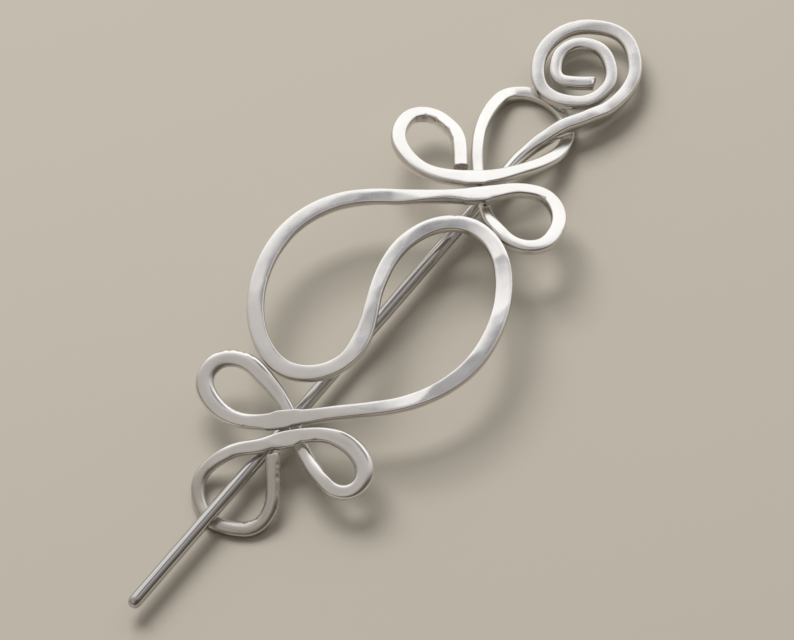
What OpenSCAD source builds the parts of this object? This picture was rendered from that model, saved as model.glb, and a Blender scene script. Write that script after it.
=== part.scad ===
// Shawl pin: an open knot bent from one hammered wire, and a loose stick that ends in a flat spiral.
// Lengths are in millimetres and angles in degrees.
// X runs along the stick towards its spiral, Z is up, and the knot lies bowed on its two end loops.

/* [Knot] */
// Length of the knot over its two end loops
frame_l = 93; // [86:0.5:104]
// Width of the knot over its two middle lobes
frame_w = 38.8; // [36:0.2:44]
// Share of the half length where the end loops start to lie level
level_share = 0.94; // [0.9:0.01:0.97]
// How far the knot's middle lies ahead of the stick's middle
frame_shift = 1.1; // [0:0.1:3]

/* [Wire] */
// Diameter of the round wire before hammering
wire_d = 2.05; // [1.8:0.05:2.2]
// Thickness of the hammered wire where strands cross, as a share of the wire
knot_thick_share = 0.6; // [0.5:0.02:0.7]
// Thickness of the end loops where they lie on the table, as a share of the wire
end_thick_share = 0.73; // [0.66:0.01:0.8]
// Width of the hammered wire where strands cross, as a share of the wire
knot_wide_share = 1.28; // [1.1:0.02:1.4]
// Radius of the hammered edges, as a share of the local thickness
edge_share = 0.36; // [0.2:0.02:0.44]

/* [Gaps] */
// Gap between strands that lie side by side
strand_gap = 0.55; // [0.4:0.05:1]
// Gap between strands that lie one above the other
layer_gap = 0.2; // [0.15:0.05:0.4]
// Gap between the end loops and the stick that rides over them
ride_gap = 0.15; // [0.1:0.05:0.3]
// Least gap between the stick and the strands that bridge it
slide_gap = 0.2; // [0.15:0.05:0.4]

/* [Stick] */
// Length of the stick over all
stick_l = 126.4; // [120:0.2:140]
// Width of the spiral
spiral_d = 17.9; // [16:0.1:19]
// Distance of the stick to the side of the knot's middle line
stick_side = 0.55; // [0.3:0.05:0.8]
// Length of the slimmer free end
tip_l = 15; // [10:0.5:16]
// Diameter of the free end, to which the shaft tapers from its neck
tip_d = 2; // [1.7:0.02:2]
// Length over which the point is rounded off
tip_round = 1.1; // [0.8:0.1:1.5]
// Width of the blunt point
point_d = 0.8; // [0.5:0.1:1.2]

/* [Finish] */
// Longest step along the wire
step_l = 2.2; // [1.5:0.1:3]
// Largest turn of the wire in one step
step_turn = 14; // [10:1:20]

/* [Hidden] */
$fn = 48;
silver = [0.86, 0.86, 0.85];

// Columns of the knot table.
// along and across are shares of the half length and half width from the knot's middle.
// heading is the way the wire runs, counted from X towards Y.
// push moves a strand out from its crossing by half a strand pitch, lift by half a layer.
// wide and thick are shares of the round wire.
function along(r) = r[0];
function across(r) = r[1];
function heading(r) = r[2];
function push(r) = r[3];
function lift(r) = r[4];
function wide(r) = r[5];
function thick(r) = r[6];

knot_rows = [
    // free end and the upper side loop
    [0.524, 0.219, 39, 0, 0, 1.08, 0.72],
    [0.636, 0.458, 57, 0, 0, 1.12, 0.8],
    [0.656, 0.612, 78, 0, 0, 1.12, 0.8],
    [0.582, 0.833, 181, 0, 0, 1.1, 0.8],
    [0.457, 0.649, -116, 0, 0, 1.14, 0.8],
    [0.435, 0.429, -87, 0, 0.1, 1.12, 0.75],
    // first strand over the head-end crossing, then the end loop
    [0.482, -0.009, -50, 1, 1, 1.26, 0.6],
    [0.66, -0.181, -25, 0, 0.15, 1.05, 0.72],
    [0.825, -0.245, 11, 0, 0, 1.05, 0.73],
    [0.976, 0.109, 85, 0, 0, 1.05, 0.73],
    [0.873, 0.443, -178, 0, 0, 1.05, 0.75],
    [0.692, 0.328, -153, 0, -0.5, 0.95, 0.75],
    // strand that dips under the crossing, then the lower side loop
    [0.532, 0.059, -138, 0, -1.1, 0.95, 0.6],
    [0.435, -0.171, -133, 0, -1.1, 0.92, 0.62],
    [0.37, -0.448, -109, 0, 0, 1, 0.75],
    [0.451, -0.753, 4, 0, 0, 1.12, 0.75],
    [0.592, -0.5, 76, 0, 0, 1.14, 0.75],
    [0.553, -0.28, 129, 0, 0.75, 1.08, 0.72],
    // second strand over the crossing, then the first middle lobe
    [0.477, -0.02, 135, -1, 1, 1.3, 0.6],
    [0.376, 0.145, 129, 0, 0.3, 0.92, 0.82],
    [0.277, 0.474, 124, 0, 0, 1.22, 0.65],
    [0.124, 0.819, 153, 0, 0, 1.27, 0.65],
    [-0.05, 0.916, 182, 0, 0, 1.26, 0.65],
    [-0.321, 0.692, -143, 0, 0, 1.22, 0.65],
    [-0.435, 0.318, -105, 0, 0, 1.22, 0.65],
    [-0.356, -0.098, -29, 0, 0, 1.18, 0.65],
    [-0.269, -0.155, 0, 0, 0, 1.12, 0.68],
    // slanting middle strand and the second middle lobe
    [-0.038, 0.044, 19, 0, 0, 1.08, 0.7],
    [0.168, 0.116, -9, 0, 0, 1.18, 0.66],
    [0.312, -0.066, -53, 0, 0, 1.22, 0.65],
    [0.339, -0.253, -92, 0, 0, 1.22, 0.65],
    [0.219, -0.706, -144, 0, 0, 1.22, 0.65],
    [-0.05, -0.946, 185, 0, 0, 1.24, 0.65],
    [-0.284, -0.816, 149, 0, 0, 1.16, 0.68],
    [-0.506, -0.288, 130, 0, 0.75, 1.06, 0.75],
    // first strand over the point-end crossing, then its upper side loop
    [-0.616, -0.088, 128, 1, 1, 1.36, 0.56],
    [-0.653, 0.254, 105, 0, 0.1, 1.12, 0.72],
    [-0.659, 0.429, 82, 0, 0, 1.17, 0.75],
    [-0.565, 0.699, -1, 0, 0, 1.12, 0.75],
    [-0.485, 0.402, -103, 0, -0.3, 1.05, 0.75],
    // strand that dips under this crossing, then the lower side loop
    [-0.53, 0.046, -115, 0, -1.1, 0.95, 0.62],
    [-0.621, -0.276, -123, 0, -1.1, 0.92, 0.62],
    [-0.684, -0.617, -104, 0, 0, 1.05, 0.75],
    [-0.632, -0.828, -4, 0, 0, 1.12, 0.75],
    [-0.552, -0.662, 72, 0, 0, 1.15, 0.75],
    [-0.551, -0.464, 100, 0, 0.7, 1.1, 0.72],
    // second strand over the crossing and the stick, then the last end loop
    [-0.609, -0.091, 130, -1, 1, 1.2, 0.6],
    [-0.692, 0.005, 132, -0.3, 1.5, 1.12, 0.66],
    [-0.758, 0.159, 147, 0, 0.9, 1.05, 0.72],
    [-0.828, 0.251, 170, 0, 0, 1, 0.75],
    [-0.954, 0.07, -122, 0, 0, 0.98, 0.73],
    [-0.965, -0.131, -75, 0, 0, 0.98, 0.73],
    [-0.877, -0.356, -6, 0, 0, 1, 0.7],
    [-0.799, -0.314, 34, 0, 0.3, 1.02, 0.75],
    [-0.7, -0.139, 38, 0, 1, 1.04, 0.7]
];

// The spiral table has the same columns. along and across are shares of the spiral's half width,
// along from the spiral's middle and across from the stick's middle line. lift is a share of the wire.
spiral_rows = [
    // neck, from inside the straight shaft
    [-2.57, 0, 0, 0, 0, 0.8, 0.8],
    [-2.18, -0.022, -9, 0, 0.03, 0.9, 1],
    [-1.72, -0.134, -17, 0, 0.14, 0.92, 1.06],
    [-1.33, -0.274, -23, 0, 0.27, 0.86, 1.06],
    [-0.915, -0.503, -25, 0, 0.27, 0.92, 0.94],
    [-0.5, -0.676, -12, 0, 0.17, 1, 0.8],
    // outer turn
    [0.056, -0.693, 8, 0, 0.1, 1.05, 0.72],
    [0.58, -0.43, 42, 0, 0.1, 1.1, 0.68],
    [0.872, 0.061, 85, 0, 0.1, 1.12, 0.66],
    [0.715, 0.57, 122, 0, 0.1, 1.12, 0.66],
    [0.045, 0.95, 176, 0, 0.1, 1.08, 0.68],
    [-0.492, 0.827, -150, 0, 0.1, 1, 0.7],
    [-0.883, 0.385, -100, 0, 0.1, 0.97, 0.72],
    [-0.709, -0.196, -52, 0, 0.1, 0.97, 0.72],
    // inner turn and its cut end
    [-0.223, -0.397, -2, 0, 0.1, 0.97, 0.72],
    [0.19, -0.212, 45, 0, 0.1, 0.98, 0.72],
    [0.397, 0.095, 72, 0, 0.1, 1, 0.72],
    [0.346, 0.452, 118, 0, 0.1, 1, 0.72],
    [0.011, 0.66, 172, 0, 0.1, 1, 0.72],
    [-0.313, 0.58, -150, 0, 0.1, 1, 0.72],
    [-0.508, 0.397, -107, 0, 0.1, 1, 0.74],
    [-0.43, 0.13, -62, 0, 0.1, 1, 0.76],
    [-0.246, -0.151, -56, 0, 0.1, 1, 0.8]
];

// Share of the half length where the strands bridge the stick closest.
bridge_share = 0.595;
// How much of the shaft covers the start of the neck.
neck_cover = 1;

strand_pitch = knot_wide_share * wire_d + strand_gap;
layer_pitch = knot_thick_share * wire_d + layer_gap;
end_t = end_thick_share * wire_d;
stick_z = end_t + ride_gap + wire_d / 2;
stick_top = stick_z + wire_d / 2;

// Bow of the knot, from 1 in the middle to 0 on the level end loops.
function bow(share) = pow(1 - pow(min(abs(share) / level_share, 1), 3), 1.5);
rise = (stick_top + slide_gap + layer_pitch / 2) / bow(bridge_share);
function bow_z(x) = rise * bow(x / (frame_l / 2));

function unit(v) = v / norm(v);
function half_turn(a) = a - 360 * round(a / 360);
function way(a) = [cos(a), sin(a)];

// Stations: place, heading, lift, width and thickness in millimetres and degrees.
function knot_place(r) =
    let (p = push(r) * strand_pitch / 2 * cos(45))
    [along(r) * frame_l / 2 + p, across(r) * frame_w / 2 + p];
knot_stations = [for (r = knot_rows)
    [knot_place(r), heading(r), lift(r) * layer_pitch / 2, wide(r) * wire_d, thick(r) * wire_d]];
spiral_stations = [for (r = spiral_rows)
    [[along(r), across(r)] * spiral_d / 2, heading(r), lift(r) * wire_d,
        wide(r) * wire_d, thick(r) * wire_d]];

// Angle between a station's heading and the straight line from station a to station b.
function swing(a, b, s) =
    let (c = b[0] - a[0])
    half_turn(s[1] - atan2(c.y, c.x));
function step_count(a, b) = max(2,
    ceil(norm(b[0] - a[0]) / step_l),
    ceil(abs(swing(a, b, a) - swing(a, b, b)) / step_turn));

// Point between two stations, by a cubic that keeps both headings.
function between(a, b, t) =
    let (
        c = norm(b[0] - a[0]),
        m0 = way(a[1]) * c / pow(cos(swing(a, b, a) / 2), 2),
        m1 = way(b[1]) * c / pow(cos(swing(a, b, b) / 2), 2),
        t2 = t * t,
        t3 = t2 * t,
        s = 3 * t2 - 2 * t3,
        p = a[0] * (1 - s) + m0 * (t3 - 2 * t2 + t) + b[0] * s + m1 * (t3 - t2)
    )
    [p.x, p.y, a[2] * (1 - s) + b[2] * s, a[3] * (1 - s) + b[3] * s, a[4] * (1 - s) + b[4] * s];
function trail(stations) = [
    for (i = [0 : len(stations) - 2])
        let (n = step_count(stations[i], stations[i + 1]))
        for (k = [0 : n - 1]) between(stations[i], stations[i + 1], k / n),
    between(stations[len(stations) - 2], stations[len(stations) - 1], 1)
];

// Direction along the wire at point k.
function run(line, k) = unit(line[min(k + 1, len(line) - 1)] - line[max(k - 1, 0)]);

// Rounded bar section, as side and up distances from its middle.
corner_signs = [[1, 1], [-1, 1], [-1, -1], [1, -1]];
function section(w, t) =
    let (r = edge_share * t)
    [for (q = [0 : 3]) for (a = [0, 45, 90])
        [corner_signs[q].x * (w / 2 - r) + r * cos(90 * q + a),
            corner_signs[q].y * (t / 2 - r) + r * sin(90 * q + a)]];
sides = 12;

// Ring of points around the wire. raise moves the section up by a share of its thickness.
function ring(line, k, w, t, floor_up, raise) =
    let (
        along = run(line, k),
        side = unit(cross(floor_up, along)),
        up = cross(along, side)
    )
    [for (s = section(w, t)) line[k] + side * s.x + up * (s.y + raise * t)];

// Knot wire: the table gives the underside of the wire.
knot_trail = trail(knot_stations);
knot_line = [for (s = knot_trail) [s.x, s.y, bow_z(s.x) + s[2]]];
slope_step = 0.05;
function bow_up(x) = unit([-(bow_z(x + slope_step) - bow_z(x - slope_step)) / (2 * slope_step), 0, 1]);
knot_points = [for (k = [0 : len(knot_line) - 1])
    each ring(knot_line, k, knot_trail[k][3], knot_trail[k][4], bow_up(knot_line[k].x), 0.5)];

// Spiral wire: the table gives the middle of the wire.
spiral_trail = trail(spiral_stations);
spiral_line = [for (s = spiral_trail) [s.x, s.y, s[2]]];
spiral_points = [for (k = [0 : len(spiral_line) - 1])
    each ring(spiral_line, k, spiral_trail[k][3], spiral_trail[k][4], [0, 0, 1], 0)];

// Placing: the origin is under the middle of the whole pin.
low_z = min([for (p = knot_points) p.z]);
middle_y = (min([for (p = knot_points) p.y]) + max([for (p = knot_points) p.y])) / 2;
spiral_reach = max([for (p = spiral_points) p.x]);
spiral_x = stick_l / 2 - spiral_reach;
neck_x = spiral_x + spiral_line[0].x + neck_cover;
free_x = -stick_l / 2 + tip_round;

// Closed skin over rings of points laid one after the other.
module wire_skin(points) {
    n = len(points) / sides;
    polyhedron(points, [
        [for (j = [0 : sides - 1]) j],
        [for (j = [0 : sides - 1]) n * sides - 1 - j],
        for (k = [0 : n - 2]) for (j = [0 : sides - 1])
            let (a = k * sides + j, b = k * sides + (j + 1) % sides)
            each [[a, b + sides, b], [a, a + sides, b + sides]]
    ]);
}

module frame() {
    color(silver)
        translate([frame_shift, -middle_y, -low_z])
            wire_skin(knot_points);
}

// Round bar along X, from one diameter to the other.
module bar(x, l, d_from, d_to) {
    translate([x, 0, 0])
        rotate([0, 90, 0])
            cylinder(h = l, d1 = d_from, d2 = d_to);
}

module rounded_point() {
    steps = 5;
    translate([free_x, 0, 0])
        rotate([0, -90, 0])
            rotate_extrude()
                polygon([
                    [0, 0],
                    for (i = [0 : steps])
                        let (a = 90 * i / steps)
                        [point_d / 2 + (tip_d - point_d) / 2 * cos(a), tip_round * sin(a)],
                    [0, tip_round]
                ]);
}

module stick() {
    color(silver)
        translate([0, -stick_side - middle_y, stick_z - low_z])
            union() {
                bar(free_x + tip_l, neck_x - free_x - tip_l, tip_d, wire_d);
                bar(free_x, tip_l, tip_d, tip_d);
                rounded_point();
                translate([spiral_x, 0, 0])
                    wire_skin(spiral_points);
            }
}

frame();
stick();
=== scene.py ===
import math
import random
from collections import namedtuple

import bmesh
import bpy
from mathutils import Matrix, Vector, noise


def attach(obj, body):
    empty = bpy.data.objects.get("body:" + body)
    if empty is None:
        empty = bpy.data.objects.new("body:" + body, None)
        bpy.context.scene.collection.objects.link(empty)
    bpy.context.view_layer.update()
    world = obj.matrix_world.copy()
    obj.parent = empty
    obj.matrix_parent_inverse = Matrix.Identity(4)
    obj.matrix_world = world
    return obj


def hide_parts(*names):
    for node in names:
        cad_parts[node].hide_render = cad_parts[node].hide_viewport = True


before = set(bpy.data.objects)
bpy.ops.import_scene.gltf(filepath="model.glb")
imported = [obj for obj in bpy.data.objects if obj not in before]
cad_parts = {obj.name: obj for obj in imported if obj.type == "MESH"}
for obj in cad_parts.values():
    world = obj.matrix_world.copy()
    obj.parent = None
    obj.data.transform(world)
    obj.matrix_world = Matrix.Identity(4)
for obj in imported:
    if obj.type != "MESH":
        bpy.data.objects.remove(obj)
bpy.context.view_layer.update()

MM = 0.001

# Sizes of the pin in millimetres, the same as in the part's source.
FRAME_L = 93.0
FRAME_W = 38.8
LEVEL_SHARE = 0.94
FRAME_SHIFT = 1.1
WIRE_D = 2.05
KNOT_THICK_SHARE = 0.6
END_THICK_SHARE = 0.73
KNOT_WIDE_SHARE = 1.28
STRAND_GAP = 0.55
LAYER_GAP = 0.2
RIDE_GAP = 0.15
SLIDE_GAP = 0.2
BRIDGE_SHARE = 0.595
STICK_L = 126.4
SPIRAL_D = 17.9
STICK_SIDE = 0.55
TIP_L = 15.0
TIP_D = 2.0
TIP_ROUND = 1.1
POINT_D = 0.8

STRAND_PITCH = KNOT_WIDE_SHARE * WIRE_D + STRAND_GAP
LAYER_PITCH = KNOT_THICK_SHARE * WIRE_D + LAYER_GAP
STICK_Z = END_THICK_SHARE * WIRE_D + RIDE_GAP + WIRE_D / 2
STICK_TOP = STICK_Z + WIRE_D / 2

# A row of a wire's route. along and across are shares of the half length and half width, and
# heading is in degrees. push and lift are shares of half a strand or layer pitch, wide and thick
# are shares of the round wire, and soft runs from 0 for a crisply hammered bar to 1 for a round
# wire.
Row = namedtuple("Row", "along across heading push lift wide thick soft")

KNOT_ROWS = [Row(*r) for r in (
    # free end and the upper side loop
    (0.524, 0.219, 39, 0, 0, 1.08, 0.72, 0.25),
    (0.636, 0.458, 57, 0, 0, 1.12, 0.8, 0.2),
    (0.656, 0.612, 78, 0, 0, 1.12, 0.8, 0.15),
    (0.582, 0.833, 181, 0, 0, 1.12, 0.8, 0.15),
    (0.457, 0.649, -116, 0, 0, 1.16, 0.8, 0.2),
    (0.435, 0.429, -87, 0, 0.1, 1.12, 0.75, 0.2),
    # first strand over the head-end crossing, then the end loop
    (0.482, -0.009, -50, 1, 1, 1.26, 0.6, 0),
    (0.66, -0.181, -25, 0, 0.15, 1.05, 0.72, 0.35),
    (0.825, -0.245, 11, 0, 0, 1.05, 0.73, 0.4),
    (0.976, 0.109, 85, 0, 0, 1.05, 0.73, 0.25),
    (0.873, 0.443, -178, 0, 0, 1.05, 0.75, 0.1),
    (0.692, 0.328, -153, 0, -0.5, 0.95, 0.75, 0.25),
    # strand that dips under the crossing, then the lower side loop
    (0.532, 0.059, -138, 0, -1.1, 0.95, 0.6, 0.7),
    (0.435, -0.171, -133, 0, -1.1, 0.92, 0.62, 0.75),
    (0.37, -0.448, -109, 0, 0, 1, 0.75, 0.4),
    (0.451, -0.753, 4, 0, 0, 1.12, 0.75, 0.15),
    (0.592, -0.5, 76, 0, 0, 1.14, 0.75, 0.1),
    (0.553, -0.28, 129, 0, 0.75, 1.08, 0.72, 0.1),
    # second strand over the crossing, then the first middle lobe
    (0.477, -0.02, 135, -1, 1, 1.3, 0.6, 0),
    (0.376, 0.145, 129, 0, 0.3, 0.94, 0.82, 0.15),
    (0.277, 0.474, 124, 0, 0, 1.24, 0.65, 0),
    (0.124, 0.819, 153, 0, 0, 1.3, 0.65, 0),
    (-0.05, 0.916, 182, 0, 0, 1.3, 0.65, 0),
    (-0.321, 0.692, -143, 0, 0, 1.28, 0.65, 0),
    (-0.435, 0.318, -105, 0, 0, 1.26, 0.65, 0),
    (-0.356, -0.098, -29, 0, 0, 1.2, 0.65, 0),
    (-0.269, -0.155, 0, 0, 0, 1.14, 0.68, 0),
    # slanting middle strand and the second middle lobe
    (-0.038, 0.044, 19, 0, 0, 1.1, 0.7, 0),
    (0.168, 0.116, -9, 0, 0, 1.2, 0.66, 0),
    (0.312, -0.066, -53, 0, 0, 1.25, 0.65, 0),
    (0.339, -0.253, -92, 0, 0, 1.28, 0.65, 0),
    (0.219, -0.706, -144, 0, 0, 1.28, 0.65, 0),
    (-0.05, -0.946, 185, 0, 0, 1.28, 0.65, 0),
    (-0.284, -0.816, 149, 0, 0, 1.18, 0.68, 0),
    (-0.506, -0.288, 130, 0, 0.75, 1.06, 0.75, 0.25),
    # first strand over the point-end crossing, then its upper side loop
    (-0.616, -0.088, 128, 1, 1, 1.16, 0.56, 0),
    (-0.653, 0.254, 105, 0, 0.1, 1.12, 0.72, 0.75),
    (-0.659, 0.429, 82, 0, 0, 1.22, 0.78, 0.9),
    (-0.565, 0.699, -1, 0, 0, 1.18, 0.78, 0.85),
    (-0.485, 0.402, -103, 0, -0.3, 1.07, 0.78, 0.8),
    # strand that dips under this crossing, then the lower side loop
    (-0.53, 0.046, -115, 0, -1.1, 0.95, 0.62, 0.7),
    (-0.621, -0.276, -123, 0, -1.1, 0.92, 0.62, 0.85),
    (-0.684, -0.617, -104, 0, 0, 1.05, 0.75, 0.6),
    (-0.632, -0.828, -4, 0, 0, 1.15, 0.78, 0.85),
    (-0.552, -0.662, 72, 0, 0, 1.18, 0.78, 0.85),
    (-0.551, -0.464, 100, 0, 0.7, 1.1, 0.72, 0.6),
    # second strand over the crossing and the stick, then the last end loop
    (-0.609, -0.091, 130, -1, 1, 1.12, 0.6, 0.1),
    (-0.692, 0.005, 132, -0.3, 1.5, 1.12, 0.66, 0.7),
    (-0.758, 0.159, 147, 0, 0.9, 1.1, 0.76, 0.95),
    (-0.828, 0.251, 170, 0, 0, 1.06, 0.78, 0.95),
    (-0.954, 0.07, -122, 0, 0, 1.02, 0.73, 0.95),
    (-0.965, -0.131, -75, 0, 0, 1.02, 0.73, 0.95),
    (-0.877, -0.356, -6, 0, 0, 1.04, 0.7, 0.9),
    (-0.799, -0.314, 34, 0, 0.3, 1.06, 0.77, 0.9),
    (-0.7, -0.139, 38, 0, 1, 1.06, 0.7, 0.75),
)]

# In the spiral's rows, along and across are shares of its half width, counted from its middle and
# from the stick's middle line, and lift is a share of the wire.
SPIRAL_ROWS = [Row(*r) for r in (
    (-2.57, 0, 0, 0, 0, 1, 1, 1),
    (-2.18, -0.022, -9, 0, 0.03, 0.96, 1, 0.8),
    (-1.72, -0.134, -17, 0, 0.14, 1.0, 1.06, 0.3),
    (-1.33, -0.274, -23, 0, 0.27, 1.02, 1.06, 0.1),
    (-0.915, -0.503, -25, 0, 0.27, 1.02, 0.94, 0.1),
    (-0.5, -0.676, -12, 0, 0.17, 1.05, 0.8, 0.1),
    # outer turn
    (0.056, -0.693, 8, 0, 0.1, 1.05, 0.72, 0.15),
    (0.58, -0.43, 42, 0, 0.1, 1.1, 0.68, 0.15),
    (0.872, 0.061, 85, 0, 0.1, 1.12, 0.66, 0.1),
    (0.715, 0.57, 122, 0, 0.1, 1.12, 0.66, 0.1),
    (0.045, 0.95, 176, 0, 0.1, 1.08, 0.68, 0.15),
    (-0.492, 0.827, -150, 0, 0.1, 1.06, 0.7, 0.15),
    (-0.883, 0.385, -100, 0, 0.1, 1.06, 0.72, 0.15),
    (-0.709, -0.196, -52, 0, 0.1, 1.02, 0.72, 0.2),
    # inner turn and its cut end
    (-0.223, -0.397, -2, 0, 0.1, 0.97, 0.72, 0.25),
    (0.19, -0.212, 45, 0, 0.1, 0.98, 0.72, 0.25),
    (0.397, 0.095, 72, 0, 0.1, 1, 0.72, 0.25),
    (0.346, 0.452, 118, 0, 0.1, 1, 0.72, 0.3),
    (0.011, 0.66, 172, 0, 0.1, 1, 0.72, 0.35),
    (-0.313, 0.58, -150, 0, 0.1, 1, 0.72, 0.4),
    (-0.508, 0.397, -107, 0, 0.1, 1, 0.74, 0.4),
    (-0.43, 0.13, -62, 0, 0.1, 1, 0.76, 0.4),
    (-0.246, -0.151, -56, 0, 0.1, 1, 0.8, 0.35),
)]

# A hammer blow on a face: its place along the wire, how far it drives the face in, its tilts along
# and across the wire, and the radius of its hollow, in millimetres and degrees.
HAMMER_R = 110
Blow = namedtuple("Blow", "place depth pitch roll radius", defaults=(HAMMER_R,))

# A stretch where the wire is wider than its rows say, as where it was struck over another strand:
# its place, its half length, how far its left edge lags behind the right one, how much the left and
# the right edge step out, and how far the face sinks.
Spread = namedtuple("Spread", "place reach lag left right sink")

# A nick from the pliers or cutters: its place, its side and height on the section, its length and
# breadth, and its depth.
Nick = namedtuple("Nick", "place side up length breadth depth")

# These are placed by row number of the tables, and turned into millimetres of wire later.
KNOT_BLOWS = (
    # end loop of the head end
    Blow(9.9, 0.0, 0.3, 0.5),
    Blow(10.5, 0.0, -0.3, -0.3),
    Blow(11.1, 0.0, 0.2, 0.4),
    # first middle lobe
    Blow(19.35, 0.02, 0.2, 0.4),
    Blow(19.95, 0.05, -0.2, -7.0),
    Blow(20.6, 0.01, 0.4, -2.4),
    Blow(21.6, -0.02, 0.4, 0.8),
    Blow(22.75, -0.01, 1.0, 1.2),
    Blow(23.1, 0.01, -1.4, -0.6),
    Blow(23.6, -0.01, 0.4, 0.6),
    Blow(24.6, 0.0, 0.3, 2.2),
    Blow(25.7, 0.0, 0.6, 2.0),
    # slanting middle strand
    Blow(26.6, 0.0, 1.6, 1.2),
    Blow(27.05, 0.0, -1.3, -0.5),
    Blow(27.9, 0.0, 0.3, 1.4),
    # second middle lobe
    Blow(28.6, 0.03, 0.5, 6.0),
    Blow(29.3, 0.03, -0.3, 6.0),
    Blow(29.9, 0.04, -0.6, 6.0),
    Blow(30.3, 0.04, -0.2, 6.0),
    Blow(31.05, 0.22, 0.0, 3.6, 70),
    Blow(31.45, 0.03, 1.3, -0.6),
    Blow(32.1, 0.03, -2.6, -2.6),
    Blow(32.65, 0.06, 0.8, 0.8),
    Blow(33.3, 0.12, 0.2, 6.0),
)
KNOT_SPREADS = (
    # the two strands struck over the head-end crossing
    Spread(6.0, 1.6, 0.3, 0.05, 0.24, 0.04),
    Spread(18.0, 1.8, 0.6, 0.2, 0.14, 0.04),
    # slanting middle strand
    Spread(26.05, 2.4, 0.0, 0.17, 0.0, 0.0),
    Spread(26.2, 3.0, 0.0, 0.17, 0.0, 0.0),
    Spread(26.35, 3.8, 0.0, 0.17, 0.0, 0.0),
    # first strand struck over the point-end crossing, then its upper side loop
    Spread(35.0, 1.9, 0.7, 0.27, 0.32, 0.08),
    Spread(38.2, 9.5, 0.0, 0.04, 0.32, 0.0),
    Spread(39.3, 4.4, 0.0, 0.2, 0.02, 0.0),
    # lower side loop
    Spread(41.3, 2.4, 0.0, 0.16, 0.12, 0.0),
    Spread(44.0, 4.4, 0.0, 0.16, 0.3, 0.0),
    # second strand struck over this crossing, then the last end loop
    Spread(46.0, 1.7, 0.3, 0.36, 0.03, 0.07),
    Spread(51.1, 4.4, 0.0, 0.24, 0.04, 0.0),
)
KNOT_NICKS = (
    # pliers, inside the upper side loop
    Nick(0.75, 1.15, 0.5, 0.25, 0.35, 0.16),
    Nick(1.2, 1.15, 0.3, 0.35, 0.5, 0.2),
    Nick(1.7, 1.15, 0.1, 0.3, 0.45, 0.18),
    Nick(2.1, 1.1, 0.45, 0.25, 0.35, 0.2),
    Nick(2.35, 1.1, -0.1, 0.25, 0.5, 0.2),
    Nick(2.5, 1.1, 0.5, 0.18, 0.35, 0.24),
    Nick(2.68, 1.1, 0.15, 0.22, 0.5, 0.2),
    Nick(2.82, 1.1, 0.55, 0.2, 0.3, 0.16),
    # lower side loop of the head end, and the middle lobes
    Nick(16.0, 1.15, 0.6, 0.3, 0.35, 0.14),
    Nick(15.2, -1.15, 0.5, 0.2, 0.3, 0.08),
    Nick(29.05, 1.1, 0.55, 0.14, 0.22, 0.14),
    Nick(22.6, 1.2, 0.6, 0.2, 0.25, 0.07),
    Nick(25.4, -1.2, 0.6, 0.25, 0.3, 0.07),
    # loops of the point end
    Nick(38.28, 1.1, 0.5, 0.3, 0.3, 0.14),
    Nick(38.42, 1.1, 0.6, 0.2, 0.3, 0.18),
    Nick(38.56, 1.1, 0.5, 0.3, 0.35, 0.13),
    Nick(38.68, 1.1, 0.65, 0.2, 0.3, 0.17),
    Nick(38.8, 1.1, 0.5, 0.25, 0.3, 0.1),
    Nick(35.8, 1.0, 0.5, 0.25, 0.3, 0.09),
    Nick(45.4, 1.0, 0.55, 0.4, 0.25, 0.1),
    Nick(45.7, 1.05, 0.5, 0.25, 0.25, 0.1),
    Nick(51.5, 1.0, 0.4, 0.3, 0.35, 0.12),
    Nick(51.9, 1.0, 0.5, 0.25, 0.3, 0.14),
    Nick(53.45, -0.95, 0.4, 0.35, 0.4, 0.16),
    Nick(53.6, -1.0, 0.1, 0.3, 0.5, 0.15),
    Nick(53.75, -0.9, 0.5, 0.2, 0.3, 0.12),
)
SPIRAL_NICKS = (
    Nick(21.9, -0.9, 0.5, 0.22, 0.35, 0.2),
    Nick(21.82, 0.9, -0.2, 0.2, 0.4, 0.14),
    Nick(21.97, 0.2, 0.7, 0.2, 0.45, 0.16),
    Nick(9.3, -1.0, 0.5, 0.3, 0.3, 0.06),
    Nick(3.4, 1.0, 0.6, 0.3, 0.25, 0.07),
)


# Route of a wire

# Powers that make the bow broad in its middle and soft at its feet.
BOW_MIDDLE = 3
BOW_FOOT = 1.5


def bow(share):
    """Bow of the knot, from 1 in the middle to 0 on the level end loops."""
    return (1 - min(abs(share) / LEVEL_SHARE, 1) ** BOW_MIDDLE) ** BOW_FOOT


RISE = (STICK_TOP + SLIDE_GAP + LAYER_PITCH / 2) / bow(BRIDGE_SHARE)


def bow_z(x):
    return RISE * bow(x / (FRAME_L / 2))


def bow_up(x, reach=0.05):
    """Direction straight out of the bow's upper face."""
    slope = (bow_z(x + reach) - bow_z(x - reach)) / (2 * reach)
    return Vector((-slope, 0, 1)).normalized()


# A station of a wire's route in millimetres and radians. row is its place in the table.
Station = namedtuple("Station", "row x y heading lift wide thick soft")


def knot_station(number, row):
    # Strands are pushed apart at 45 degrees to the stick, square to the way they cross it.
    push = row.push * STRAND_PITCH / 2 * math.cos(math.radians(45))
    return Station(number, row.along * FRAME_L / 2 + push, row.across * FRAME_W / 2 + push,
                   math.radians(row.heading), row.lift * LAYER_PITCH / 2,
                   row.wide * WIRE_D, row.thick * WIRE_D, row.soft)


def spiral_station(number, row):
    return Station(number, row.along * SPIRAL_D / 2, row.across * SPIRAL_D / 2,
                   math.radians(row.heading), row.lift * WIRE_D,
                   row.wide * WIRE_D, row.thick * WIRE_D, row.soft)


def half_turn(angle):
    """The same angle, within half a turn either way."""
    return angle - 2 * math.pi * round(angle / (2 * math.pi))


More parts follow.
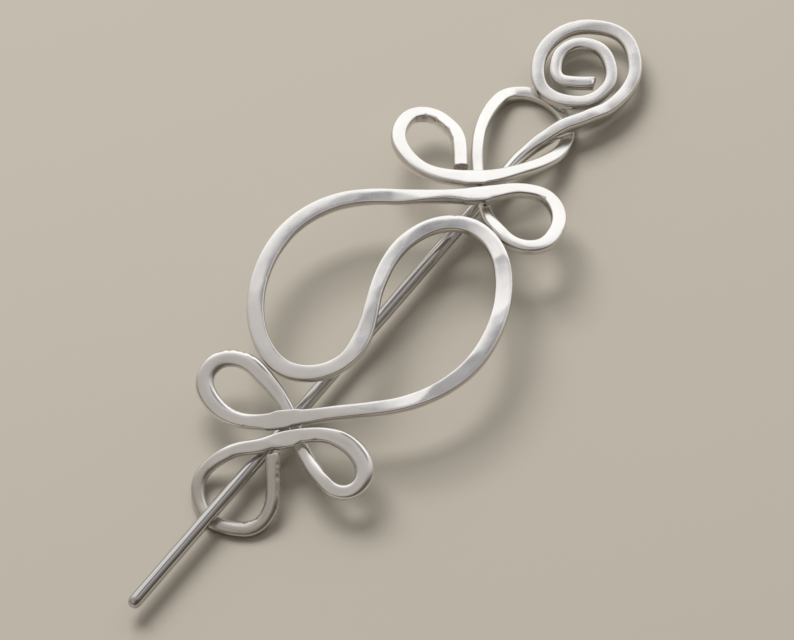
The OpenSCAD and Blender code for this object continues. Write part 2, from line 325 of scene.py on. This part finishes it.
def between(a, b, t):
    """Station between two others, on a cubic that keeps both headings."""
    chord = math.hypot(b.x - a.x, b.y - a.y)
    slope = math.atan2(b.y - a.y, b.x - a.x)
    reach_a = chord / math.cos(half_turn(a.heading - slope) / 2) ** 2
    reach_b = chord / math.cos(half_turn(b.heading - slope) / 2) ** 2
    s = 3 * t ** 2 - 2 * t ** 3
    u, v = t ** 3 - 2 * t ** 2 + t, t ** 3 - t ** 2
    x = (a.x * (1 - s) + math.cos(a.heading) * reach_a * u
         + b.x * s + math.cos(b.heading) * reach_b * v)
    y = (a.y * (1 - s) + math.sin(a.heading) * reach_a * u
         + b.y * s + math.sin(b.heading) * reach_b * v)
    lift, wide, thick, soft = (p * (1 - s) + q * s for p, q in zip(a[4:], b[4:]))
    return Station(a.row + t, x, y, 0, lift, wide, thick, soft)


def trail(stations, step=0.25, least=4, spare=1.04):
    """Fine stations along a route. spare is for a curve's being longer than its chord."""
    fine = []
    for a, b in zip(stations, stations[1:]):
        count = max(least, math.ceil(spare * math.hypot(b.x - a.x, b.y - a.y) / step))
        fine += [between(a, b, k / count) for k in range(count)]
    return fine + [between(stations[-2], stations[-1], 1)]


def lengths(line):
    """Length of wire up to each point of its line."""
    total, out = 0.0, [0.0]
    for a, b in zip(line, line[1:]):
        total += (b - a).length
        out.append(total)
    return out


def place_of(row, stations, places):
    """Length of wire at a row number of the table."""
    for station, place in zip(stations, places):
        if station.row >= row:
            return place
    return places[-1]


# Section of a wire

# Shares of the bulging side, the rounded edge and the flat face at which a quarter has its points.
SIDE_SHARES = (0, 0.4, 0.75)
EDGE_SHARES = (0, 0.33, 0.67, 1)
FACE_SHARES = (0.66, 0.33)
QUARTER = len(SIDE_SHARES) + len(EDGE_SHARES) + len(FACE_SHARES)
SIDES = 4 * QUARTER

# How much painted shade a side gets from its middle up to the rounded edge, standing in for the
# dark surroundings that it mirrors, how much of that its lower half keeps (the rest is left
# lighter, a painted reflection), and how much of it a round wire loses.
SIDE_SHADES = (0.9, 1, 1, 0.6)
LOWER_SHADE = 0.2
ROUND_LOSS = 0.7

# A point of a section: how far it lies to the left and up, how much it belongs to a hammered face,
# and how much painted shade it gets, both from 0 to 1.
Spot = namedtuple("Spot", "side up face flank")


def bar_section(wide, thick, soft, bulge=0.13, edge=0.14):
    """Section of a hammered bar, counter-clockwise from its left side."""
    radius = (bulge ** 2 + thick ** 2 / 4) / (2 * bulge)
    flat = wide / 2 - bulge
    arc = math.asin(thick / 2 / radius) - edge / radius
    start = (wide / 2 - radius + radius * math.cos(arc), radius * math.sin(arc))
    quarter = [Spot(wide / 2 - radius + radius * math.cos(arc * s),
                    radius * math.sin(arc * s), 0, shade)
               for s, shade in zip(SIDE_SHARES, SIDE_SHADES)]
    for s in EDGE_SHARES:
        a, b, c = (1 - s) ** 2, 2 * s * (1 - s), s ** 2
        quarter.append(Spot(a * start[0] + b * flat + c * (flat - edge),
                            a * start[1] + (b + c) * thick / 2, s, 0 if s else SIDE_SHADES[-1]))
    quarter += [Spot((flat - edge) * s, thick / 2, 1, 0) for s in FACE_SHARES]
    shaped = []
    for k, spot in enumerate(quarter):
        angle = math.radians(90) * k / QUARTER
        shaped.append(Spot(spot.side * (1 - soft) + wide / 2 * math.cos(angle) * soft,
                           spot.up * (1 - soft) + thick / 2 * math.sin(angle) * soft,
                           spot.face * (1 - soft), spot.flank * (1 - ROUND_LOSS * soft)))
    top = shaped + [Spot(0, thick / 2, 1 - soft, 0)]
    top += [p._replace(side=-p.side) for p in reversed(shaped)]
    return top + [p._replace(up=-p.up, flank=p.flank * LOWER_SHADE) for p in reversed(top[1:-1])]


# The scatter of the random blows in depth, tilts and spacing.
BLOW_DEPTH = 0.03
BLOW_PITCH = 0.8
BLOW_ROLL = 1.8
BLOW_SPACING = (0.6, 1.5)

# The domed face between the blows: how far its middle lies above its edges, which share of that is
# above the flat face, how steeply it falls at the edges, and how softly it passes into a blow.
DOME_RISE = 0.07
DOME_SHARE = 0.35
DOME_FALL = 2.5
SOFTNESS = 0.01

# How far away along the wire a mark can still be felt.
BLOW_REACH = 12
SPREAD_REACH = 20
NICK_REACH = 2

# Unevenness of the edges and faces: its height, and its length along and across the wire.
EDGE_WAVE = 0.035
EDGE_WAVE_L = 3.1
FACE_WAVE = 0.006
FACE_WAVE_L = 1.4
FACE_WAVE_W = 1.1

# A nick pulls the skin towards the wire's middle, but its pull stops growing this near to it.
NICK_CORE = 0.2


def random_blows(length, spacing, rng):
    """Blows laid one after the other along a wire."""
    blows, place = [], -spacing
    while place < length + spacing:
        blows.append(Blow(place, rng.uniform(-BLOW_DEPTH, BLOW_DEPTH),
                          rng.gauss(0, BLOW_PITCH), rng.gauss(0, BLOW_ROLL)))
        place += spacing * rng.uniform(*BLOW_SPACING)
    return blows


def driven(blows, place, side, reach):
    """Height of a hammered face over the flat one: the domed face or the lowest blow counts."""
    total = math.exp(-DOME_RISE * (DOME_SHARE - abs(reach) ** DOME_FALL) / SOFTNESS)
    for b in blows:
        gap = place - b.place
        height = (gap * gap / (2 * b.radius) + math.radians(b.pitch) * gap
                  + math.radians(b.roll) * side - b.depth)
        total += math.exp(-height / SOFTNESS)
    return -SOFTNESS * math.log(total)


def near(marks, place, reach):
    """The marks whose place is within reach."""
    return [m for m in marks if abs(m.place - place) < reach]


def plateau(distance, reach, steepness=8):
    """1 within the reach and falling fast to 0 beyond it."""
    return 1 / (1 + (distance / reach) ** steepness)


def edge_wave(place, side, seed):
    """Waviness of an edge along the wire, different on the left and the right."""
    return EDGE_WAVE * noise.noise(Vector((place / EDGE_WAVE_L, math.copysign(2, side), seed)))


def face_wave(place, side, up, seed):
    """Waviness of a face along and across the wire, different on its top and underside."""
    return FACE_WAVE * noise.noise(Vector((place / FACE_WAVE_L, side / FACE_WAVE_W,
                                           seed + math.copysign(4, up))))


# The marks of a wire: blows on its upper and lower face, spreads and nicks. seed sets its waves.
Marks = namedtuple("Marks", "upper lower spreads nicks seed")


def worked_section(step, place, marks):
    """Section of the wire at a station, with the marks of the tools on it."""
    upper = near(marks.upper, place, BLOW_REACH)
    lower = near(marks.lower, place, BLOW_REACH)
    spreads = near(marks.spreads, place, SPREAD_REACH)
    nicks = near(marks.nicks, place, NICK_REACH)
    spots = []
    for spot in bar_section(step.wide, step.thick, step.soft):
        side, up = spot.side, spot.up
        reach = 2 * side / step.wide
        height = 2 * up / step.thick
        out = sink = 0.0
        for s in spreads:
            out += (s.left if side > 0 else s.right) * plateau(
                place - s.place - math.copysign(s.lag, side), s.reach)
            sink += s.sink * plateau(place - s.place, s.reach)
        out += edge_wave(place, side, marks.seed)
        struck = driven(upper if height > 0 else lower, place, side, reach)
        up += height * (struck - sink) * (1 - step.soft)
        up += face_wave(place, side, up, marks.seed) * spot.face
        side += reach * out
        for n in nicks:
            away = ((place - n.place) / n.length) ** 2
            away += ((side - n.side) ** 2 + (up - n.up) ** 2) / n.breadth ** 2
            pull = n.depth * math.exp(-away) / max(math.hypot(side, up), NICK_CORE)
            side, up = side * (1 - pull), up * (1 - pull)
        spots.append(spot._replace(side=side, up=up))
    return spots


# A ring of the skin: its points, and the place along the wire and the spots for the finish.
Ring = namedtuple("Ring", "points place spots")


def lay_wire(line, stations, ups, marks, raised):
    """Rings of a hammered wire along its line. A raised wire lies on its line, and another one
    around it."""
    rings = []
    for k, (place, step) in enumerate(zip(lengths(line), stations)):
        along = (line[min(k + 1, len(line) - 1)] - line[max(k - 1, 0)]).normalized()
        side = ups[k].cross(along).normalized()
        up = along.cross(side)
        centre = line[k] + up * (step.thick / 2 if raised else 0)
        spots = worked_section(step, place, marks)
        rings.append(Ring([(centre + side * s.side + up * s.up) * MM for s in spots], place, spots))
    return rings


# The rings of a cut end: how far each is drawn in and pushed out, as shares of the rounded rim.
# None is drawn in by more than a share of the way to the middle.
CUT_RINGS = ((0.3, 0.65), (0.7, 0.95), (1, 1), (2.6, 1.05), (4.2, 1.0))
CUT_RIM = 0.14
CUT_DRAWN_MOST = 0.9

# How much painted shade the face of a cut end gets, and how high its ridges are.
CUT_PAINTED_SHADE = 1.2
CUT_WAVE = 0.03


def cut_end(ring, inner, slant):
    """Rings that round off the rim of a cut end and draw its face together, with painted shade on
    it.
    """
    middle = sum(ring.points, Vector()) / SIDES
    out = sum(((a - b) for a, b in zip(ring.points, inner.points)), Vector()).normalized() * MM
    shaded_spots = [s._replace(face=0, flank=CUT_PAINTED_SHADE) for s in ring.spots]
    rings = []
    for pull, push in CUT_RINGS:
        points = []
        for p, s in zip(ring.points, ring.spots):
            inward = middle - p
            wave = CUT_WAVE * math.sin(5 * s.side + 7 * s.up)
            points.append(p + inward * min(CUT_DRAWN_MOST, pull * CUT_RIM * MM / inward.length)
                          + out * (CUT_RIM * push + slant * s.side + wave))
        rings.append(Ring(points, ring.place, shaded_spots))
    return rings


def put(name, data):
    """A new object in the scene."""
    thing = bpy.data.objects.new(name, data)
    bpy.context.scene.collection.objects.link(thing)
    return thing


def into_piece(name, bm):
    """A new object with the mesh that was worked on."""
    mesh = bpy.data.meshes.new(name)
    bm.to_mesh(mesh)
    bm.free()
    return put(name, mesh)


# Points of the skin that lie this near to each other, in metres, are one.
SEAM_REACH = 1e-7


def tube(name, rings):
    """Closed skin over rings: a grid wrapped round the wire, with its seam and ends closed."""
    columns = SIDES + 1
    bm = bmesh.new()
    places = bm.verts.layers.float_vector.new("wire_place")
    faces = bm.verts.layers.float.new("hammered")
    # The painted shade of the sides is kept on the mesh for the finish.
    painted_shade_layer = bm.verts.layers.float.new("flank")
    bmesh.ops.create_grid(bm, x_segments=SIDES, y_segments=len(rings) - 1, size=1)
    bm.verts.ensure_lookup_table()
    for k, vert in enumerate(bm.verts):
        ring, spot = rings[k // columns], k % columns % SIDES
        vert.co = ring.points[spot]
        mark = ring.spots[spot]
        vert[places] = Vector((ring.place, mark.side, mark.up)) * MM
        vert[faces] = mark.face
        vert[painted_shade_layer] = mark.flank
    seam = [v for k, v in enumerate(bm.verts) if k % columns in (0, SIDES)]
    bmesh.ops.remove_doubles(bm, verts=seam, dist=SEAM_REACH)
    bmesh.ops.holes_fill(bm, edges=[e for e in bm.edges if e.is_boundary], sides=SIDES)
    bmesh.ops.recalc_face_normals(bm, faces=bm.faces)
    for face in bm.faces:
        face.smooth = True
    return into_piece(name, bm)


def in_wire(marks, stations, places):
    """Marks that were placed by row number, placed by length of wire instead."""
    return [m._replace(place=place_of(m.place, stations, places)) for m in marks]


# Random numbers of the knot, spacing of its random blows, and the room that the table's own blows
# keep.
KNOT_SEED = 12
KNOT_SPACING = 6.5
OWN_ROOM = 4

# The last end loop turns duller, and is painted grey as shade, from the second of these rows to the
# first.
DULL_SHADED_ROWS = (49.6, 48.2)


def make_knot():
    """The knot, how far it was moved down in y and z, in millimetres, and the two places between
    which its last loop turns duller and is painted grey as shade, in metres."""
    rng = random.Random(KNOT_SEED)
    stations = trail([knot_station(*r) for r in enumerate(KNOT_ROWS)])
    line = [Vector((s.x, s.y, bow_z(s.x) + s.lift)) for s in stations]
    places = lengths(line)
    own = in_wire(KNOT_BLOWS, stations, places)
    upper = [b for b in random_blows(places[-1], KNOT_SPACING, rng)
             if all(abs(b.place - o.place) > OWN_ROOM for o in own)] + own
    marks = Marks(upper, random_blows(places[-1], KNOT_SPACING, rng),
                  in_wire(KNOT_SPREADS, stations, places),
                  in_wire(KNOT_NICKS, stations, places), seed=11)
    rings = lay_wire(line, stations, [bow_up(s.x) for s in stations], marks, raised=True)
    rings = (cut_end(rings[0], rings[1], slant=0.12)[::-1] + rings
             + cut_end(rings[-1], rings[-2], slant=-0.1))
    piece = tube("knot_wire", rings)
    low = min(v.co.z for v in piece.data.vertices)
    ys = [v.co.y for v in piece.data.vertices]
    middle = (min(ys) + max(ys)) / 2
    for v in piece.data.vertices:
        v.co += Vector((FRAME_SHIFT * MM, -middle, -low))
    last_loop = [place_of(r, stations, places) * MM for r in DULL_SHADED_ROWS]
    return piece, middle / MM, low / MM, last_loop


# Row numbers of the tip and the shaft, which come before the spiral's table.
TIP_ROW = -2
SHAFT_ROW = -1

# Rings round the tip, and the distance between those of the shaft.
TIP_RINGS = 9
SHAFT_STEP = 0.4

# Random numbers of the stick, and spacing of the blows on its spiral's upper and lower face.
STICK_SEED = 7
UPPER_SPACING = 5.5
LOWER_SPACING = 6

# The row where the shaft begins to flatten into its neck.
NECK_ROW = 0.5


def round_station(row, d):
    return Station(row, x=0, y=0, heading=0, lift=0, wide=d, thick=d, soft=1)


def make_stick(middle, low):
    """The stick with its spiral, moved like the knot, and the place of its neck in millimetres."""
    rng = random.Random(STICK_SEED)
    spiral = trail([spiral_station(*r) for r in enumerate(SPIRAL_ROWS)])
    coil = [Vector((s.x, s.y, s.lift)) for s in spiral]
    move = STICK_L / 2 - max(p.x + s.wide / 2 for p, s in zip(coil, spiral))
    coil = [p + Vector((move, 0, 0)) for p in coil]
    free = -STICK_L / 2 + TIP_ROUND
    line, stations = [], []
    for k in range(TIP_RINGS):
        angle = math.radians(90) * (1 - k / TIP_RINGS)
        line.append(Vector((free - TIP_ROUND * math.sin(angle), 0, 0)))
        stations.append(round_station(TIP_ROW, POINT_D + (TIP_D - POINT_D) * math.cos(angle)))
    steps = math.ceil((coil[0].x - free) / SHAFT_STEP)
    for k in range(steps):
        x = free + (coil[0].x - free) * k / steps
        tapered = max(0, (x - free - TIP_L) / (coil[0].x - free - TIP_L))
        line.append(Vector((x, 0, 0)))
        stations.append(round_station(SHAFT_ROW, TIP_D + (WIRE_D - TIP_D) * tapered))
    line, stations = line + coil, stations + spiral
    places = lengths(line)
    marks = Marks(random_blows(places[-1], UPPER_SPACING, rng),
                  random_blows(places[-1], LOWER_SPACING, rng), [],
                  in_wire(SPIRAL_NICKS, stations, places), seed=23)
    rings = lay_wire(line, stations, [Vector((0, 0, 1))] * len(line), marks, raised=False)
    rings += cut_end(rings[-1], rings[-2], slant=0.2)
    piece = tube("spiral_stick", rings)
    for v in piece.data.vertices:
        v.co += Vector((0, -STICK_SIDE - middle, STICK_Z - low)) * MM
    return piece, place_of(NECK_ROW, stations, places)


# Finishes

class Term:
    """A shader socket that takes part in Python expressions."""

    def __init__(self, shader, socket):
        self.shader, self.socket = shader, socket

    def _math(self, operation, *values):
        return self.shader.node("ShaderNodeMath", {"operation": operation},
                                dict(enumerate(values)))

    def __add__(self, other):
        return self._math("ADD", self, other)

    def __sub__(self, other):
        return self._math("SUBTRACT", self, other)

    def __rsub__(self, other):
        return self._math("SUBTRACT", other, self)

    def __mul__(self, other):
        return self._math("MULTIPLY", self, other)

    __radd__, __rmul__ = __add__, __mul__

    def ramp(self, low, high):
        """0 at low, 1 at high and smooth between."""
        return self.shader.node("ShaderNodeMapRange", {"interpolation_type": "SMOOTHSTEP"},
                                {"Value": self, "From Min": low, "From Max": high})


class Shader:
    """The node tree of a material or of the world."""

    def __init__(self, owner):
        owner.use_nodes = True
        self.tree = owner.node_tree
        self.tree.nodes.clear()

    def node(self, kind, settings=None, inputs=None, output=0):
        made = self.tree.nodes.new(kind)
        for name, value in (settings or {}).items():
            setattr(made, name, value)
        for name, value in (inputs or {}).items():
            if isinstance(value, Term):
                self.tree.links.new(value.socket, made.inputs[name])
            else:
                made.inputs[name].default_value = value
        return Term(self, made.outputs[output]) if made.outputs else None

    def grain(self, place, stretch, detail=3, turn=0.0):
        """Noise over the straightened wire. stretch counts its features per metre along, across
        and up."""
        turned = self.node("ShaderNodeVectorRotate", {"rotation_type": "Z_AXIS"},
                           {"Vector": place, "Angle": turn}) if turn else place
        scaled = self.node("ShaderNodeVectorMath", {"operation": "MULTIPLY"},
                           {0: turned, 1: stretch})
        return self.node("ShaderNodeTexNoise", inputs={"Vector": scaled, "Scale": 1.0,
                                                       "Detail": detail, "Roughness": 0.55})

    def ramp_colour(self, share, stops):
        """Colour along a row of stops."""
        made = self.node("ShaderNodeValToRGB", inputs={0: share})
        ramp = made.socket.node.color_ramp
        for stop, _ in stops[2:]:
            ramp.elements.new(stop)
        for element, (stop, colour) in zip(ramp.elements, stops):
            element.position, element.color = stop, colour
        return made

    def blend(self, share, first, second):
        """Colour between two others."""
        return self.node("ShaderNodeMix", {"data_type": "RGBA"}, {0: share, 6: first, 7: second},
                         output=2)


# Tones of the metal: the two between which it changes in blotches, and the painted shade on its
# sides, which stands in for the dark surroundings that they mirror.
WORN_TONE = (0.88, 0.868, 0.85, 1)
CLEAN_TONE = (0.945, 0.935, 0.92, 1)
PAINTED_SHADE_TONE = (0.4, 0.355, 0.31, 1)

# Features per metre of wire along, across and up, of the blotches, the fine wear, the streaks of
# the drawing die, and the brush marks in two directions.
BLOTCHES = (160, 260, 260)
WEAR = (900, 1300, 1300)
STREAKS = (70, 5200, 5200)
BRUSHING = (700, 9000, 400)
CROSSING = (6500, 500, 400)

# Between which values a face counts as struck, and the metal as clean.
STRUCK_EDGE = (0.15, 0.75)
CLEAN_EDGE = (0.3, 0.7)

# How much the layers add to the roughness, and how high they stand in the scratches.
WEAR_ROUGH = 0.1
BLOTCH_ROUGH = 0.16
STREAK_ROUGH = 0.12
BRUSH_RISE = 0.7
CROSS_RISE = 0.5
WEAR_RISE = 0.4
SCRATCH_DEPTH = 0.00002
SCRATCH_SHARE = 0.4

# How much of the grey and of the painted side shade shows, how streaky each is, and how much of
# the painted side shade the plain part loses. The grey is painted shade, and on the shaft also a
# greyer tone.
SHADED_GREY_SHARE = 0.75
SHADED_GREY_STREAKS = 0.7
PAINTED_SHADE_SHARE = 0.6
PAINTED_SHADE_STREAKS = 0.8
PLAIN_LOSS = 0.8


def silver(name, satin, polish, shaded_grey, dulling, plain):
    """Silver-white wire, with the roughness satin on struck faces and polish elsewhere. Its plain
    part is painted greyer as shade (on the shaft also a greyer tone), and rougher by dulling. It
    changes to plain from the second to the first of two places in metres, whichever of them comes
    first along the wire."""
    material = bpy.data.materials.new(name)
    sh = Shader(material)
    place = sh.node("ShaderNodeAttribute", {"attribute_name": "wire_place"}, output=1)
    face = sh.node("ShaderNodeAttribute", {"attribute_name": "hammered"}, output=2)
    flank = sh.node("ShaderNodeAttribute", {"attribute_name": "flank"}, output=2)
    struck = face.ramp(*STRUCK_EDGE)
    blotch = sh.grain(place, BLOTCHES, detail=2)
    wear = sh.grain(place, WEAR)
    drawn = sh.grain(place, STREAKS, detail=2)
    brushed = sh.grain(place, BRUSHING, turn=0.9)
    crossed = sh.grain(place, CROSSING, turn=0.35)
    along = sh.node("ShaderNodeSeparateXYZ", inputs={0: place})
    # Mask of the plain part, which is painted grey as shade and made rougher.
    grey_and_shade_mask = 1 - along.ramp(*plain)
    rough = (polish + struck * (satin - polish) + grey_and_shade_mask * dulling + (wear - 0.5) * WEAR_ROUGH
             + struck * (blotch - 0.5) * BLOTCH_ROUGH
             + (1 - struck) * (drawn - 0.5) * STREAK_ROUGH)
    scored = (struck * (brushed * BRUSH_RISE + crossed * CROSS_RISE)
              + (1 - struck) * drawn + wear * WEAR_RISE)
    bump = sh.node("ShaderNodeBump", inputs={"Height": scored, "Strength": SCRATCH_SHARE,
                                             "Distance": SCRATCH_DEPTH})
    worn = sh.blend(blotch.ramp(*CLEAN_EDGE), WORN_TONE, CLEAN_TONE)
    worn_and_shaded = sh.blend(grey_and_shade_mask * (SHADED_GREY_SHARE + (drawn - 0.5) * SHADED_GREY_STREAKS), worn, shaded_grey)
    # The sides are painted darker as shade, standing in for the dark surroundings that they mirror.
    shade = (flank * (1 - PLAIN_LOSS * grey_and_shade_mask)
             * (PAINTED_SHADE_SHARE + (drawn - 0.5) * PAINTED_SHADE_STREAKS))
    shaded_colour = sh.blend(shade, worn_and_shaded, PAINTED_SHADE_TONE)
    skin = sh.node("ShaderNodeBsdfPrincipled", inputs={"Base Color": shaded_colour, "Metallic": 1.0,
                                                       "Roughness": rough, "Normal": bump})
    sh.node("ShaderNodeOutputMaterial", inputs={"Surface": skin})
    return material


# Half the width of the floor in metres, its tone and its roughness.
FLOOR_REACH = 8
FLOOR_TONE = (0.45, 0.42, 0.365, 1)
FLOOR_ROUGH = 0.85


def plain_floor():
    bm = bmesh.new()
    bmesh.ops.create_grid(bm, x_segments=1, y_segments=1, size=FLOOR_REACH)
    floor = into_piece("floor", bm)
    material = bpy.data.materials.new("pale_floor")
    sh = Shader(material)
    face = sh.node("ShaderNodeBsdfPrincipled", inputs={"Base Color": FLOOR_TONE,
                                                       "Roughness": FLOOR_ROUGH})
    sh.node("ShaderNodeOutputMaterial", inputs={"Surface": face})
    floor.data.materials.append(material)


# Camera and lights

# The place in the middle of the photograph, the camera's angles and its distance from that place
# in metres, the photograph's focal length and width in pixels, and the film's width.
TARGET = Vector((-1.35, -2.99, 4.02)) * MM
AZIMUTH, ELEVATION = math.radians(-54.4), math.radians(56.0)
DISTANCE = 0.9
FOCAL_PX = 6075
PHOTO_W = 794
SENSOR_W = 36


def aim_camera():
    back = Vector((math.sin(AZIMUTH) * math.cos(ELEVATION),
                   -math.cos(AZIMUTH) * math.cos(ELEVATION), math.sin(ELEVATION)))
    camera = put("camera", bpy.data.cameras.new("camera"))
    camera.location = TARGET + back * DISTANCE
    camera.rotation_mode = "QUATERNION"
    camera.rotation_quaternion = (-back).to_track_quat("-Z", "Y")
    camera.data.sensor_width = SENSOR_W
    camera.data.lens = FOCAL_PX / PHOTO_W * SENSOR_W
    camera.data.clip_start, camera.data.clip_end = 0.01, 30
    bpy.context.scene.camera = camera
    bpy.context.scene.view_settings.view_transform = "Standard"


def panel(name, towards, distance, width, height, power, tint):
    """Soft light from a direction. It doesn't show in the metal, which mirrors the room."""
    light = bpy.data.lights.new(name, "AREA")
    light.shape, light.size, light.size_y = "RECTANGLE", width, height
    light.energy, light.color = power, tint
    lamp = put(name, light)
    way = Vector(towards).normalized()
    lamp.location = way * distance
    lamp.rotation_mode = "QUATERNION"
    lamp.rotation_quaternion = way.to_track_quat("Z", "Y")
    lamp.visible_camera = False
    lamp.visible_glossy = False


# Brightness of the room by how near a direction comes to the middle of the window.
WINDOW = (0.80, 0.50, 0.33)
ROOM = (
    (0.0, (0.10, 0.085, 0.07, 1)),
    (0.15, (0.18, 0.16, 0.145, 1)),
    (0.32, (0.30, 0.28, 0.265, 1)),
    (0.46, (0.45, 0.43, 0.415, 1)),
    (0.60, (0.54, 0.52, 0.505, 1)),
    (0.72, (0.62, 0.605, 0.59, 1)),
    (0.79, (0.84, 0.83, 0.815, 1)),
    (0.86, (0.97, 0.96, 0.945, 1)),
    (1.0, (1.0, 0.99, 0.97, 1)),
)

# A dim bluish gap in the room beside the window, and a pale wall on the point's side. Their edges
# are given by how near a direction comes to their middles.
GAP = (0.48, 0.16, 0.862)
GAP_TONE = (0.22, 0.215, 0.235, 1)
GAP_EDGE = (0.975, 0.991)
WALL = (-0.50, 0.30, 0.81)
WALL_TONE = (0.41, 0.385, 0.36, 1)
WALL_EDGE = (0.55, 0.95)

# The backdrop that the camera sees past the floor, and the strength of the room's light.
BACKDROP_TONE = (0.8, 0.79, 0.77, 1)
ROOM_STRENGTH = 1.1


def light_room():
    world = bpy.data.worlds.new("studio")
    bpy.context.scene.world = world
    sky = Shader(world)
    ray = sky.node("ShaderNodeLightPath")
    way = sky.node("ShaderNodeTexCoord")
    facing, in_gap, at_wall = (
        sky.node("ShaderNodeVectorMath", {"operation": "DOT_PRODUCT"}, {0: way, 1: middle},
                 output=1) for middle in (WINDOW, GAP, WALL))
    room = sky.ramp_colour(facing, ROOM)
    room = sky.blend(at_wall.ramp(*WALL_EDGE), room, WALL_TONE)
    room = sky.blend(in_gap.ramp(*GAP_EDGE), room, GAP_TONE)
    seen = sky.blend(ray, room, BACKDROP_TONE)
    tone = sky.node("ShaderNodeBackground", inputs={"Color": seen, "Strength": ROOM_STRENGTH})
    sky.node("ShaderNodeOutputWorld", inputs={"Surface": tone})


# The shaft is plain and painted grey, a greyer tone together with painted shade, up to this far
# before its neck, in metres.
SHAFT_SHADED = (0.016, 0.006)

knot, middle_y, low_z, last_loop = make_knot()
stick, neck_place = make_stick(middle_y, low_z)
# The knot's last loop is painted grey as shade; the shaft's grey is a greyer tone and painted
# shade.
knot.data.materials.append(silver("hammered_silver", satin=0.22, polish=0.17,
                                  shaded_grey=(0.6, 0.56, 0.51, 1), dulling=0.12, plain=last_loop))
stick.data.materials.append(silver("drawn_silver", satin=0.26, polish=0.1,
                                   shaded_grey=(0.48, 0.47, 0.46, 1), dulling=0.02,
                                   plain=[neck_place * MM - before for before in SHAFT_SHADED]))
for piece, node, slot in ((knot, "frame", "hammered_wire"), (stick, "stick", "polished_wire")):
    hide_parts(node)
    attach(piece, node)
plain_floor()
aim_camera()
panel("soft_key", towards=(0.35, 0.62, 0.75), distance=1.2, width=0.8, height=0.6, power=15,
      tint=(1.0, 0.985, 0.96))
light_room()
